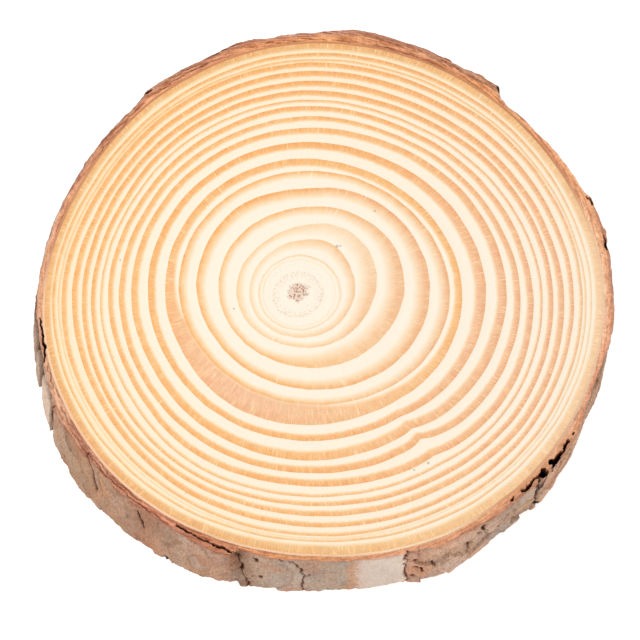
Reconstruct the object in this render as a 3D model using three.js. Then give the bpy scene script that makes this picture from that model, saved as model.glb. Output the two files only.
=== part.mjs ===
// A wood slice: a disc sawn straight across a young conifer stem, with its bark still on.
// Wood and bark grew as one piece, so the whole slice is one closed solid.
// Millimetres, +Z up. The origin is under the middle of the slice, on the lower sawn face.
import * as THREE from "three";

// Driving dimensions.
const THICKNESS = 18; // between the two level sawn faces
const WALL_LEVELS = 4; // bands of faces down the bark wall
const CURVE_STEPS = 4; // straight lengths between two points of a curve

// The rim, seen from above and counted anticlockwise from +X. Each list is one plate of bark, as
// [degrees, distance from the pith]. A plate's rim is one smooth curve, and a short step leads to the next.
const BARK_PLATES = [
  // east: thin bark that ends in a ragged corner
  [[-15, 61.8], [-8, 62.6], [4, 62.8], [13, 63.2], [19.5, 62.5]],
  // north-east: the outer plate has fallen off, down to thin inner bark
  [[21, 61.6], [28, 61.2], [36, 60.4], [44, 59.7]],
  // north: a thick layered plate
  [[48.5, 61.8], [56, 61], [64, 60.6], [72, 60.6], [78.5, 60.9]],
  [[83, 59.4], [88, 58.6], [98, 57.7], [102, 58], [105.5, 57.1]],
  [[112, 56.1], [118, 55.4], [125.5, 54.9]],
  // north-west: even, thin bark
  [[127.5, 54.1], [134, 53.7], [144, 52.6], [156, 51.8], [168, 51.9], [182, 52.3]],
  [[186, 53], [196, 53.1], [205, 53.4]],
  // south-west: one broad plate with a rounded end
  [[207, 54.4], [215, 54], [224, 54.1], [236, 54.8], [246, 55.6], [256, 57.2]],
  // south: plates with closed cracks between them
  [[258.5, 55.1], [264, 55.8], [268, 56.2]],
  [[269.5, 56.2], [276, 56.8], [282, 57.6], [290, 58.8]],
  // south-east: the thickest bark
  [[292, 58.7], [297, 60], [304, 60.7], [312, 61.1], [317, 61.7]],
  [[319, 61.9], [326, 62.2], [333, 61.9], [340, 61.5]],
];

// On the south-west side the plates spread outwards below the upper sawn face.
const SPREAD = 1.3; // how far, at the lower sawn face
const SPREAD_MIDDLE = 226; // degrees
const SPREAD_REACH = 40; // degrees to each side, where it has faded out

function atPith([degrees, distance]) {
  const angle = THREE.MathUtils.degToRad(degrees);
  return new THREE.Vector2(Math.cos(angle), Math.sin(angle)).multiplyScalar(distance);
}

function sliceRim() {
  const rim = new THREE.Shape();
  for (const [index, plate] of BARK_PLATES.entries()) {
    const [first, ...rest] = plate.map(atPith);
    if (index === 0) rim.moveTo(first.x, first.y);
    else rim.lineTo(first.x, first.y);
    rim.splineThru(rest);
  }
  rim.closePath();
  return rim;
}

function spreadAt(x, y) {
  const degrees = THREE.MathUtils.radToDeg(Math.atan2(y, x));
  const away = Math.abs(THREE.MathUtils.euclideanModulo(degrees - SPREAD_MIDDLE + 180, 360) - 180);
  return SPREAD * (1 - THREE.MathUtils.smoothstep(away, 0, SPREAD_REACH));
}

function sliceSolid() {
  const solid = new THREE.ExtrudeGeometry(sliceRim(), {
    depth: THICKNESS,
    steps: WALL_LEVELS,
    curveSegments: CURVE_STEPS,
    bevelEnabled: false,
  });
  const points = solid.getAttribute("position");
  for (let i = 0; i < points.count; i += 1) {
    const [x, y, z] = [points.getX(i), points.getY(i), points.getZ(i)];
    const grow = 1 + (spreadAt(x, y) * (1 - z / THICKNESS)) / Math.hypot(x, y);
    points.setXY(i, x * grow, y * grow);
  }
  // The pith lies off centre, so the slice is moved until the middle of its outline is over the origin.
  solid.computeBoundingBox();
  const middle = solid.boundingBox.getCenter(new THREE.Vector3());
  solid.translate(-middle.x, -middle.y, 0);
  solid.computeVertexNormals();
  return solid;
}

const rawPine = new THREE.MeshStandardMaterial({ color: 0xf3d6a4, roughness: 0.75, metalness: 0 });

const woodSlice = new THREE.Mesh(sliceSolid(), rawPine);
woodSlice.name = "wood_slice";

const part = new THREE.Group();
part.add(woodSlice);

export default part;
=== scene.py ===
import math
import random

import bpy
import numpy as np
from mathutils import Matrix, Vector, noise


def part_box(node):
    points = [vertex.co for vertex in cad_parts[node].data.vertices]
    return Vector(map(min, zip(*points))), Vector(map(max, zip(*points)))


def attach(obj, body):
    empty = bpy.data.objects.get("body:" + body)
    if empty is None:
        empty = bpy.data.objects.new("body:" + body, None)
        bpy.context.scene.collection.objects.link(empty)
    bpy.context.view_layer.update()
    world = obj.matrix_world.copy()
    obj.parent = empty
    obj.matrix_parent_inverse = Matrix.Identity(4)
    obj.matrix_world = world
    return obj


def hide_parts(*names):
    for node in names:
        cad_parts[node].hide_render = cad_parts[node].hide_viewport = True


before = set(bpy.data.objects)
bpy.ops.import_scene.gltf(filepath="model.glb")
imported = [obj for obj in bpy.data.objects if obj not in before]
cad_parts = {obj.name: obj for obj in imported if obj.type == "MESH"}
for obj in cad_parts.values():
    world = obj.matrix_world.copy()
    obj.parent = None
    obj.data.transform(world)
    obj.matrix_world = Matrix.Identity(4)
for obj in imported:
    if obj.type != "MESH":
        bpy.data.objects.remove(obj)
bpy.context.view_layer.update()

# ---------------------------------------------------------------------------------------------------------
# Viewpoint: a long lens looking steeply down on the upper sawn face, with the near bark wall just in sight.
# The pith lies off the middle of the slice, and every size below is counted from it.
# ---------------------------------------------------------------------------------------------------------
MM = 0.001
slice_low, slice_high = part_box("wood_slice")
PITH_FROM_WEST_EDGE = 52.71 * MM
PITH_FROM_SOUTH_EDGE = 56.51 * MM
pith = Vector((slice_low.x + PITH_FROM_WEST_EDGE, slice_low.y + PITH_FROM_SOUTH_EDGE, 0.0))
THICK = (slice_high.z - slice_low.z) / MM

VIEW_DOWN = math.radians(67)
VIEW_DISTANCE = 600 * MM
VIEW_ASIDE = 4.4 * MM
VIEW_NEARER = 5.2 * MM
lens = bpy.data.cameras.new("long_lens")
lens.sensor_width = 36  # mm
lens.lens = 168.75  # mm


def put_in_scene(name, data):
    """A new object for a lens, a lamp or a mesh, set in the scene."""
    made = bpy.data.objects.new(name, data)
    bpy.context.scene.collection.objects.link(made)
    return made


camera = put_in_scene("camera", lens)
camera.location = pith + Vector((
    VIEW_ASIDE,
    -VIEW_DISTANCE * math.cos(VIEW_DOWN) - VIEW_NEARER,
    slice_high.z + VIEW_DISTANCE * math.sin(VIEW_DOWN) - VIEW_NEARER / math.tan(VIEW_DOWN),
))
camera.rotation_euler = (math.pi / 2 - VIEW_DOWN, 0, 0)
bpy.context.scene.camera = camera


# ---------------------------------------------------------------------------------------------------------
# Table and light: a white table top under an even white studio tent, with one large soft lamp at the back
# left, so that the relief of the bark shows and the sawn face stays bright.
# ---------------------------------------------------------------------------------------------------------
def paint(hex_code):
    """A colour as a maker reads it off a chart, sRGB hex, turned into the linear values that light uses."""
    parts = [int(hex_code[i:i + 2], 16) / 255 for i in (0, 2, 4)]
    return tuple(c / 12.92 if c <= 0.04045 else ((c + 0.055) / 1.055) ** 2.4 for c in parts) + (1.0,)


def node(tree, kind, inputs=None, out=0, stops=None, **settings):
    """Adds one shader node with its settings, and gives back its first output or the one named as out.
    Each input is a value or another node's output to link."""
    made = tree.nodes.new("ShaderNode" + kind)
    for name, value in settings.items():
        setattr(made, name, value)
    for key, value in (inputs or {}).items():
        if isinstance(value, bpy.types.NodeSocket):
            tree.links.new(value, made.inputs[key])
        else:
            made.inputs[key].default_value = value
    for index, (place, colour) in enumerate(stops or []):
        elements = made.color_ramp.elements
        element = elements[index] if index < 2 else elements.new(place)
        element.position = place
        element.color = colour
    return made.outputs[out]


def new_material(name, sockets):
    """A material with plain values on its shader's own sockets, and its node tree and shader."""
    made = bpy.data.materials.new(name)
    made.use_nodes = True
    shader = made.node_tree.nodes["Principled BSDF"]
    for socket, value in sockets.items():
        shader.inputs[socket].default_value = value
    return made, made.node_tree, shader


TENT_STRENGTH = 0.75
LAMP_ACROSS = 0.5  # m
LAMP_WATTS = 2.8
LAMP_PLACE = Vector((-0.45, 0.1, 0.75))  # m; the lamp points at the slice
bpy.context.scene.view_settings.view_transform = "Standard"
tent = bpy.data.worlds.new("studio_tent")
tent.use_nodes = True
tent.node_tree.nodes["Background"].inputs["Color"].default_value = (1, 1, 1, 1)
tent.node_tree.nodes["Background"].inputs["Strength"].default_value = TENT_STRENGTH
bpy.context.scene.world = tent

lamp = bpy.data.lights.new("soft_lamp", "AREA")
lamp.shape = "DISK"
lamp.size = LAMP_ACROSS
lamp.energy = LAMP_WATTS
lamp_stand = put_in_scene("soft_lamp", lamp)
lamp_stand.location = LAMP_PLACE
lamp_stand.rotation_euler = (-LAMP_PLACE).to_track_quat("-Z", "Y").to_euler()

TABLE_HALF = 1.5  # m
TABLE_STEPS = 6
steps = np.linspace(-TABLE_HALF, TABLE_HALF, TABLE_STEPS + 1)
table_points = [(x, y, 0.0) for y in steps for x in steps]
row = TABLE_STEPS + 1
table_faces = [
    (j * row + i, j * row + i + 1, (j + 1) * row + i + 1, (j + 1) * row + i)
    for j in range(TABLE_STEPS)
    for i in range(TABLE_STEPS)
]
table_mesh = bpy.data.meshes.new("table_top")
table_mesh.from_pydata(table_points, [], table_faces)
table_top = put_in_scene("table_top", table_mesh)
# White matt lacquer: no gloss and no grain, so that the ground stays one even white right up to the slice.
lacquer, _, _ = new_material("white_matt_lacquer", {
    "Base Color": paint("c8c8c8"), "Roughness": 0.9, "Specular IOR Level": 0.0,
    "Emission Color": (1, 1, 1, 1), "Emission Strength": 0.72,
})
table_mesh.materials.append(lacquer)

# ---------------------------------------------------------------------------------------------------------
# Wood: sapwood of a young pine, sawn square across the stem and sanded. Each year's ring is pale spring
# wood that darkens into orange summer wood and stops at a sharp outer edge. The stem grew off centre, so
# the rings are wide to the east and close together to the west.
# ---------------------------------------------------------------------------------------------------------
PITH_RADIUS = 2.1  # mm
# One row for a year: how far its outer edge lies from the pith, in mm, every 30 degrees round from +X;
# the width of its dark summer wood, in mm, every 60 degrees; and how dark that is, every 60 degrees.
YEARS = [
    ((5.2, 4.8, 4.7, 4.6, 4.5, 4.7, 5.1, 5.5, 5.7, 5.6, 5.4, 5.2),
     (0.5, 0.5, 0.5, 0.5, 0.5, 0.5), (0.20, 0.15, 0.15, 0.18, 0.20, 0.20)),
    ((7.6, 7.5, 7.3, 7.2, 7.1, 7.1, 7.1, 7.3, 7.5, 7.6, 7.7, 7.7),
     (0.3, 0.3, 0.3, 0.3, 0.3, 0.3), (0.22, 0.28, 0.34, 0.36, 0.26, 0.26)),
    ((8.7, 8.5, 8.3, 8.2, 7.9, 7.9, 8.0, 8.2, 8.3, 8.4, 8.5, 8.7),
     (0.6, 0.6, 0.5, 0.5, 0.5, 0.5), (0.50, 0.72, 0.50, 0.54, 0.54, 0.54)),
    ((11.4, 11.9, 12.5, 11.3, 10.4, 9.9, 9.8, 9.8, 9.8, 9.9, 10.4, 10.8),
     (1.9, 2.6, 1.6, 1.1, 1.2, 1.5), (0.66, 0.68, 0.50, 0.50, 0.52, 0.62)),
    ((15.5, 16.8, 16.6, 14.5, 13.0, 12.6, 12.4, 12.1, 11.8, 12.0, 13.0, 14.1),
     (3.8, 3.3, 1.3, 1.7, 1.3, 1.5), (0.64, 0.42, 0.65, 0.62, 0.62, 0.70)),
    ((21.2, 21.7, 20.4, 18.6, 17.5, 16.7, 15.9, 15.4, 15.4, 16.2, 17.8, 19.5),
     (4.2, 2.4, 1.8, 1.6, 1.7, 4.0), (0.78, 0.80, 0.94, 0.82, 0.88, 0.66)),
    ((26.4, 26.2, 25.0, 22.8, 22.4, 21.2, 20.3, 19.4, 19.6, 20.8, 22.9, 25.2),
     (3.4, 2.6, 2.6, 2.0, 1.9, 2.6), (0.86, 0.95, 1.00, 0.96, 0.98, 0.86)),
    ((30.4, 29.3, 28.0, 26.8, 25.6, 24.7, 23.8, 22.9, 22.9, 24.0, 26.3, 29.1),
     (2.5, 1.8, 1.7, 1.9, 1.4, 1.7), (0.88, 0.95, 0.98, 0.95, 0.98, 0.80)),
    ((32.9, 31.7, 30.3, 29.6, 28.6, 27.4, 26.6, 26.3, 27.5, 28.4, 29.7, 32.1),
     (1.7, 1.9, 1.9, 2.4, 7.6, 3.3), (0.86, 0.88, 0.92, 0.90, 0.90, 0.80)),
    ((37.6, 36.4, 34.4, 33.4, 32.0, 30.8, 30.1, 29.8, 30.6, 31.8, 33.3, 36.3),
     (2.5, 2.0, 1.6, 1.7, 1.5, 1.7), (0.90, 0.98, 1.00, 0.94, 0.95, 0.92)),
    ((41.7, 40.4, 38.1, 36.6, 35.0, 33.8, 33.4, 33.2, 34.4, 35.8, 37.2, 40.3),
     (2.1, 1.7, 1.4, 1.6, 1.9, 2.3), (0.92, 0.90, 0.93, 0.86, 0.92, 0.86)),
    ((44.5, 42.5, 40.4, 39.2, 37.3, 35.9, 35.8, 35.9, 37.2, 38.5, 40.4, 43.7),
     (1.5, 1.2, 1.3, 1.4, 1.4, 1.8), (0.92, 0.90, 0.88, 0.86, 0.95, 0.95)),
    ((47.0, 45.0, 42.6, 41.6, 39.4, 37.9, 38.0, 38.1, 40.0, 41.1, 43.8, 46.9),
     (1.5, 1.3, 1.3, 1.2, 1.4, 1.8), (0.90, 0.95, 0.95, 0.88, 0.93, 0.93)),
    ((48.9, 46.7, 44.2, 43.1, 41.0, 39.3, 39.6, 40.0, 42.0, 43.3, 45.8, 48.5),
     (0.7, 0.8, 0.7, 0.7, 0.8, 0.8), (0.95, 0.88, 0.90, 0.82, 0.78, 0.82)),
    ((51.0, 49.1, 46.4, 45.2, 43.0, 41.0, 41.3, 42.0, 43.8, 45.2, 47.9, 50.7),
     (1.2, 1.4, 1.3, 1.1, 0.9, 1.2), (0.98, 1.00, 1.00, 0.92, 0.86, 0.93)),
    ((53.1, 51.0, 48.6, 47.4, 44.8, 42.9, 43.2, 43.9, 45.5, 47.2, 50.0, 52.9),
     (1.4, 1.5, 1.3, 1.2, 1.1, 1.4), (0.93, 1.00, 1.00, 0.93, 0.90, 0.90)),
    ((55.1, 53.3, 51.1, 49.6, 46.8, 44.6, 45.2, 45.6, 47.5, 49.5, 52.3, 54.5),
     (1.1, 1.5, 1.3, 1.3, 1.3, 1.1), (0.90, 1.00, 1.00, 0.93, 0.93, 0.92)),
    ((56.9, 55.3, 53.1, 51.6, 48.7, 46.4, 47.2, 47.8, 49.1, 51.3, 54.0, 56.3),
     (0.8, 1.2, 1.2, 1.2, 0.8, 0.9), (0.78, 1.00, 1.00, 0.88, 0.84, 0.84)),
    ((57.7, 56.0, 54.2, 52.4, 49.4, 47.2, 48.0, 48.5, 49.8, 51.9, 54.5, 57.0),
     (0.6, 0.7, 0.8, 0.6, 0.4, 0.4), (0.66, 0.78, 0.80, 0.60, 0.55, 0.60)),
    ((58.8, 57.3, 55.6, 53.8, 50.5, 48.2, 49.1, 49.7, 50.8, 52.5, 55.6, 58.0),
     (0.5, 1.1, 0.9, 0.8, 0.6, 0.7), (0.68, 0.98, 0.92, 0.90, 0.90, 0.82)),
    ((60.9, 59.4, 58.0, 56.1, 52.7, 50.0, 50.6, 51.7, 53.2, 55.0, 58.4, 60.2),
     (1.6, 1.9, 1.6, 1.4, 1.8, 2.3), (0.62, 0.92, 0.95, 0.95, 0.97, 0.74)),
]
# A branch bud grew out at one side and died back: for a few years the rings dip towards the pith there.
BUD_DIRECTION = 307.5  # degrees
BUD_DIPS = {9: 0.4, 10: 1.1, 11: 1.6, 12: 0.7, 13: 0.2}  # year: depth in mm
BUD_WIDTH = 4.5  # degrees
WANDER = 0.12  # mm, how far a year's edge strays from its smooth curve
# Compression wood is the pinker, wider summer wood on the side that the stem leaned to.
ORANGE_SUMMER = paint("f8b674")
PINK_SUMMER = paint("f3ba96")
TAN_SUMMER = paint("ecb47a")
SPRING = paint("fcf0dd")
OUTER_SPRING = paint("fae5c0")
LAST_CELLS = np.array([0.97, 0.87, 0.72, 1.0])  # the last cells of a year are the darkest
LEAN_DIRECTION = 352  # degrees
PALE_DIRECTION = 335  # degrees, where the outer spring wood stays palest
OLD_LEAN_DIRECTION = 245  # degrees, of the one year when the stem leaned the other way
OLD_LEAN_YEAR = 8
YOUNG_YEARS = 7
YOUNG_LEAN_DIRECTION = 10  # degrees
LEAN_SECTOR, OLD_LEAN_SECTOR, YOUNG_LEAN_SECTOR, PALE_SECTOR = 4.0, 3.0, 2.5, 2.0
# The summer wood of the last year is tan, and that of the few years before it turns a little tan.
LAST_YEAR_TAN = 0.9
TANNING_FROM, TANNING_YEARS, TANNING_MOST = 16, 4, 0.35
NOT_TAN_IF_PINK, NOT_AGED_IF_PALE = 0.85, 0.8
THINNEST_SUMMER = 0.2  # mm
WIDEST_SUMMER = 1.3  # of its year, because compression wood can be dark right through
LEAST_SPRING = 0.03  # of its year
# How many mm an old year's summer wood takes to darken, and how much longer in a band wider than this.
DARKENS_IN, DARKENS_SLOWER, WIDE_BAND = 0.55, 0.3, 1.3

STEM_STEPS = 640  # round the stem
EDGE_HALF = 0.08  # mm, half of a year's sharp outer edge
degrees_round = np.arange(STEM_STEPS) * 360 / STEM_STEPS


def around(values, degrees):
    """A smooth closed curve through values that are given at equal steps of direction."""
    place = np.asarray(degrees) / 360 * len(values)
    first = np.floor(place).astype(int)
    t = place - first
    before, here, there, after = (np.take(values, first + k, mode="wrap") for k in (-1, 0, 1, 2))
    bend = 2 * before - 5 * here + 4 * there - after
    return here + 0.5 * t * (there - before + t * (bend + t * (3 * (here - there) + after - before)))


def towards(direction, degrees, sector):
    """1 in one direction, fading to 0 on the far side. A higher sector number is a narrower sector."""
    return (0.5 + 0.5 * np.cos(np.radians(degrees - direction))) ** sector


def blend(first, second, part):
    """A colour or a number between two others, with this part of the second one."""
    return np.asarray(first) * (1 - part) + np.asarray(second) * part


def wrapped(gap, whole_turn):
    """A gap round the stem taken the short way, so that it is within half a turn to either side."""
    return (gap + whole_turn / 2) % whole_turn - whole_turn / 2


def stem_points(reach, degrees, level):
    """Points at distances from the pith, directions round it and levels, in mm and degrees."""
    turn = np.radians(degrees)
    return np.stack(np.broadcast_arrays(reach * np.cos(turn), reach * np.sin(turn), level), -1)


def rough(points, size, octaves=3, seed=0.0):
    """Natural unevenness, about -1 to 1, at points in mm, with lumps of the given size in mm."""
    shift = Vector((seed * 17.3, seed * 5.1, seed * 9.7))
    return np.array([noise.fractal(Vector(p) / size + shift, 1.0, 2.0, octaves) for p in points])


def year_edges(degrees):
    """Distance of every year's outer edge from the pith, in mm, with the pith's own edge first."""
    edges = [np.full(len(degrees), PITH_RADIUS)]
    turn = wrapped(degrees - BUD_DIRECTION, 360)
    ring_points = stem_points(20, degrees, 0)
    for year, (edge, _, _) in enumerate(YEARS):
        dip = BUD_DIPS.get(year, 0) * np.exp(-np.abs(turn) / BUD_WIDTH)
        wander = WANDER * rough(ring_points + [0, 0, year * 4.0], 3.0, 2)
        edges.append(around(edge, degrees) - dip + wander)
    return np.array(edges)


edges = year_edges(degrees_round)
wood_edge = edges[-1]

# Across each year the mesh has five lines: just outside the last edge, in the spring wood, where the
# summer wood starts, in the middle of it, and just inside the outer edge.
# Each line keeps its distance from the pith, how far it is into the summer wood and over what distance that
# darkens (all in mm), how dark it gets, and the colours of spring and summer wood there.
lines = []
for year, (_, widths, darks) in enumerate(YEARS):
    inner, outer = edges[year] + EDGE_HALF, edges[year + 1] - EDGE_HALF
    width = np.clip(around(widths, degrees_round), THINNEST_SUMMER, (outer - inner) * WIDEST_SUMMER)
    start = outer - width
    start_line = np.maximum(start, inner + (outer - inner) * LEAST_SPRING)
    dark = around(darks, degrees_round)
    pink = towards(LEAN_DIRECTION, degrees_round, LEAN_SECTOR)
    if year < YOUNG_YEARS:
        pink = towards(YOUNG_LEAN_DIRECTION, degrees_round, YOUNG_LEAN_SECTOR)
    if year == OLD_LEAN_YEAR:
        pink = towards(OLD_LEAN_DIRECTION, degrees_round, OLD_LEAN_SECTOR)
    pink = pink[:, None]
    tan = TANNING_MOST * max(0, year - TANNING_FROM) / TANNING_YEARS
    if year == len(YEARS) - 1:
        tan = LAST_YEAR_TAN
    tan = tan * (1 - NOT_TAN_IF_PINK * pink)
    summer = blend(blend(ORANGE_SUMMER, PINK_SUMMER, pink), TAN_SUMMER, tan)
    pale = towards(PALE_DIRECTION, degrees_round, PALE_SECTOR)
    age = (year / (len(YEARS) - 1)) ** 2 * (1 - NOT_AGED_IF_PALE * pale)
    spring = blend(SPRING, OUTER_SPRING, age[:, None])
    darkens_over = DARKENS_IN + DARKENS_SLOWER * np.clip(width - WIDE_BAND, 0, None)
    if year < OLD_LEAN_YEAR:
        # Up to 1.5 mm wide a band darkens all the way to its edge; wide compression wood is fuller.
        darkens_over = width * (1.05 - 0.4 * np.clip((width - 1.5) / 2.5, 0, 1))
    for distance in (inner, (inner + start_line) / 2, start_line, (start_line + outer) / 2):
        lines.append((distance, distance - start, darkens_over, dark, spring, summer))
    lines.append((outer, outer - start, darkens_over, dark, spring, summer * LAST_CELLS))

# Inside the pith are a few more lines, with no summer wood.
PITH_LINES = 3
for k in range(PITH_LINES, 0, -1):
    distance = np.full(STEM_STEPS, PITH_RADIUS * k / (PITH_LINES + 1))
    blank = np.full(STEM_STEPS, -1.0)
    lines.insert(0, (distance, blank, -blank, 0 * blank, lines[0][4], lines[0][5]))

RELIEF = 0.05  # mm that the soft spring wood wears lower than the summer wood
SAND_WAVES = 0.05  # mm, slow unevenness of a hand-sanded face
WAVE_ACROSS, WAVE_ALONG = 9, 13  # mm
cos_round, sin_round = np.cos(np.radians(degrees_round)), np.sin(np.radians(degrees_round))


def face_points(face_lines, level, outward):
    """Points of one sawn face, line by line out from the pith, at a level in mm; outward is 1 or -1."""
    rows = []
    for distance, into_summer, darkens_over, dark, _, _ in face_lines:
        x, y = distance * cos_round, distance * sin_round
        worn = RELIEF * (1 - np.clip(into_summer / darkens_over, 0, 1) * dark)
        waves = SAND_WAVES * np.sin(x / WAVE_ACROSS + 1) * np.cos(y / WAVE_ALONG)
        z = level - outward * (worn + np.abs(waves))
        rows.append(np.stack([x, y, z], 1))
    return np.array(rows)


# The underside has every other line, and the last one.
under_lines = lines[::2] + lines[-1:]
top_rows = face_points(lines, THICK, 1)
under_rows = face_points(under_lines, 0.0, -1)
# The rims are level with the bark's cut face, so that the two meet without a step.
top_rows[-1, :, 2] = THICK - RELIEF
under_rows[-1, :, 2] = RELIEF

wood_points = [(0, 0, THICK - RELIEF)] + [tuple(p) for p in top_rows.reshape(-1, 3)]
under_centre = len(wood_points)
wood_points += [(0, 0, RELIEF)] + [tuple(p) for p in under_rows.reshape(-1, 3)]


def fan_faces(middle, first, count):
    """Three-sided faces from a middle point to a closed line of points round it."""
    return [(middle, first + k, first + (k + 1) % count) for k in range(count)]


def ring_faces(first_a, first_b, count):
    """Four-sided faces between two closed lines of points; they face up when the lines run outwards."""
    after = [(k + 1) % count for k in range(count)]
    return [(first_a + k, first_b + k, first_b + n, first_a + n) for k, n in enumerate(after)]


wood_faces = []
for base, rows, upwards in ((0, top_rows, True), (under_centre, under_rows, False)):
    side = fan_faces(base, base + 1, STEM_STEPS)
    for line in range(len(rows) - 1):
        first = base + 1 + line * STEM_STEPS
        side += ring_faces(first, first + STEM_STEPS, STEM_STEPS)
    wood_faces += side if upwards else [face[::-1] for face in side]
top_rim = 1 + (len(top_rows) - 1) * STEM_STEPS
under_rim = under_centre + 1 + (len(under_rows) - 1) * STEM_STEPS
wood_faces += ring_faces(top_rim, under_rim, STEM_STEPS)


def make_piece(name, points, faces, values, colours):
    """A closed mesh about the pith, from points in mm, with a number or a colour stored at each point."""
    mesh = bpy.data.meshes.new(name)
    mesh.from_pydata([tuple(c * MM + o for c, o in zip(p, pith)) for p in points], [], faces)
    for key, numbers in values.items():
        mesh.attributes.new(key, "FLOAT", "POINT").data.foreach_set("value", np.ravel(numbers))
    for key, tints in colours.items():
        mesh.attributes.new(key, "FLOAT_COLOR", "POINT").data.foreach_set("color", np.ravel(tints))
    mesh.validate()
    return put_in_scene(name, mesh)


def stacked(index):
    """One stored number or colour for every point of the wood, both faces and their centres."""
    top = [np.asarray(line[index]) for line in lines]
    under = [np.asarray(line[index]) for line in under_lines]
    parts = [top[0][:1]] + top + [under[0][:1]] + under
    return np.concatenate(parts)


wood = make_piece(
    "wood", wood_points, wood_faces,
    {"into_summer": stacked(1), "darkens_over": stacked(2), "summer_dark": stacked(3)},
    {"spring_tint": stacked(4), "summer_tint": stacked(5)},
)
wood.data.shade_smooth()
WOOD_SHARP = 40  # degrees
wood.data.set_sharp_from_angle(angle=math.radians(WOOD_SHARP))

# A flat layout for the painted surface: the upper face in one corner, the underside in the other and the
# hidden edge as a strip.
layout = wood.data.uv_layers.new(name="OFBake")
TOP_DISC = (0.37, 0.37, 0.355)  # middle and radius
UNDER_DISC = (0.79, 0.79, 0.2)
EDGE_STRIP = (0.02, 0.96, 0.5, 0.02)  # left, bottom, width and height
left, bottom, wide, high = EDGE_STRIP
reach = float(max(wood_edge))
for polygon in wood.data.polygons:
    flat = polygon.normal.z
    for loop in polygon.loop_indices:
        spot = (wood.data.vertices[wood.data.loops[loop].vertex_index].co - pith) / MM
        if abs(flat) > 0.5:
            u0, v0, size = TOP_DISC if flat > 0 else UNDER_DISC
            layout.data[loop].uv = (u0 + size * spot.x / reach, v0 + size * spot.y / reach)
        else:
            turn = math.atan2(spot.y, spot.x) / (2 * math.pi) % 1
            layout.data[loop].uv = (left + wide * turn, bottom + high * spot.z / THICK)

# Raw sanded pine: matt and dry, with a faint sheen only where the dense summer wood took a polish. The eye
# goes to the fine rays, the stipple of cut fibres and the sharp edge of each year.
pine, tree, shader = new_material("raw_sanded_pine", {"Specular IOR Level": 0.3})


def place_nodes(tree):
    """Places on a surface in mm, seen flat from the pith, and their distances and directions from it."""
    here = node(tree, "TexCoord", out="Object")
    in_mm = node(tree, "VectorMath", {0: here, 1: (1 / MM,) * 3}, operation="MULTIPLY")
    from_pith = node(tree, "VectorMath", {0: in_mm, 1: tuple(pith / MM)}, operation="SUBTRACT")
    flat = node(tree, "VectorMath", {0: from_pith, 1: (1, 1, 0)}, operation="MULTIPLY")
    distance = node(tree, "VectorMath", {0: flat}, operation="LENGTH", out="Value")
    direction = node(tree, "VectorMath", {0: flat}, operation="NORMALIZE")
    return in_mm, flat, distance, direction


def round_the_pith(tree, direction, distance, steps_round, steps_out):
    """A place for a pattern that lies round the pith, with a number of steps round it and per mm out."""
    spread = node(tree, "VectorMath", {0: direction, "Scale": steps_round}, operation="SCALE")
    along = node(tree, "Math", {0: distance, 1: steps_out}, operation="MULTIPLY")
    along_axis = node(tree, "CombineXYZ", {"Z": along})
    return node(tree, "VectorMath", {0: spread, 1: along_axis}, operation="ADD")


in_mm, flat_place, distance, direction = place_nodes(tree)

# Rays run straight out from the pith. They are a cell wide in life, and drawn here 0.2 mm wide to show.
# They branch as the stem grows, so that their spacing stays about the same: it doubles at 16 and 32 mm out.
RAYS_AT_PITH = 7
RAY_LENGTH = 2.5  # mm
branch_noise = node(tree, "TexNoise", {"Vector": in_mm, "Scale": 0.25, "Detail": 1.0})
branch_at = node(tree, "Math", {0: branch_noise, 1: 6.0, 2: distance}, operation="MULTIPLY_ADD")
doublings = node(tree, "Math", {0: branch_at, 1: 2.0}, operation="LOGARITHM")
whole_doublings = node(tree, "Math", {0: doublings}, operation="FLOOR")
branches = node(tree, "Math", {0: 2.0, 1: whole_doublings}, operation="POWER")
ray_split = node(tree, "Math", {0: branches, 1: RAYS_AT_PITH}, operation="MULTIPLY")
ray_place = round_the_pith(tree, direction, distance, ray_split, 1 / RAY_LENGTH)
ray_noise = node(tree, "TexNoise", {"Vector": ray_place, "Scale": 1.0, "Detail": 2.0})
pale_rays = node(tree, "MapRange", {"Value": ray_noise, "From Min": 0.6, "From Max": 0.72})
# Fibres are cut across, so the face has a fine even stipple, and each summer band is a little uneven.
stipple = node(tree, "TexNoise", {"Vector": in_mm, "Scale": 4.2, "Detail": 3.0})
clouding = node(tree, "TexNoise", {"Vector": in_mm, "Scale": 0.55, "Detail": 2.0})

into_summer, darkens_over, dark = (
    node(tree, "Attribute", attribute_name=stored, out="Fac")
    for stored in ("into_summer", "darkens_over", "summer_dark")
)
spring_tint, summer_tint = (
    node(tree, "Attribute", attribute_name=stored, out="Color")
    for stored in ("spring_tint", "summer_tint")
)
# The start of the summer wood is frayed by about a third of a mm.
grains = node(tree, "Math", {0: ray_noise, 1: stipple}, operation="ADD")
uneven = node(tree, "Math", {0: grains, 1: 1.0}, operation="SUBTRACT")
frayed = node(tree, "Math", {0: uneven, 1: 0.9, 2: into_summer}, operation="MULTIPLY_ADD")
place = node(tree, "Math", {0: frayed, 1: darkens_over}, operation="DIVIDE")
band = node(tree, "ValToRGB", {"Fac": place}, stops=[
    (0.0, (0, 0, 0, 1)), (1.0, (1, 1, 1, 1)), (0.45, (0.5, 0.5, 0.5, 1)),
])
summer = node(tree, "Math", {0: band, 1: dark}, operation="MULTIPLY")
cloud_cut = node(tree, "MapRange", {
    "Value": clouding, "From Min": 0.3, "From Max": 0.7, "To Min": 0.86, "To Max": 1.1})
ray_cut = node(tree, "Math", {0: pale_rays, 1: -0.5, 2: cloud_cut}, operation="MULTIPLY_ADD")
summer_seen = node(tree, "Math", {0: summer, 1: ray_cut}, operation="MULTIPLY", use_clamp=True)
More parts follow.
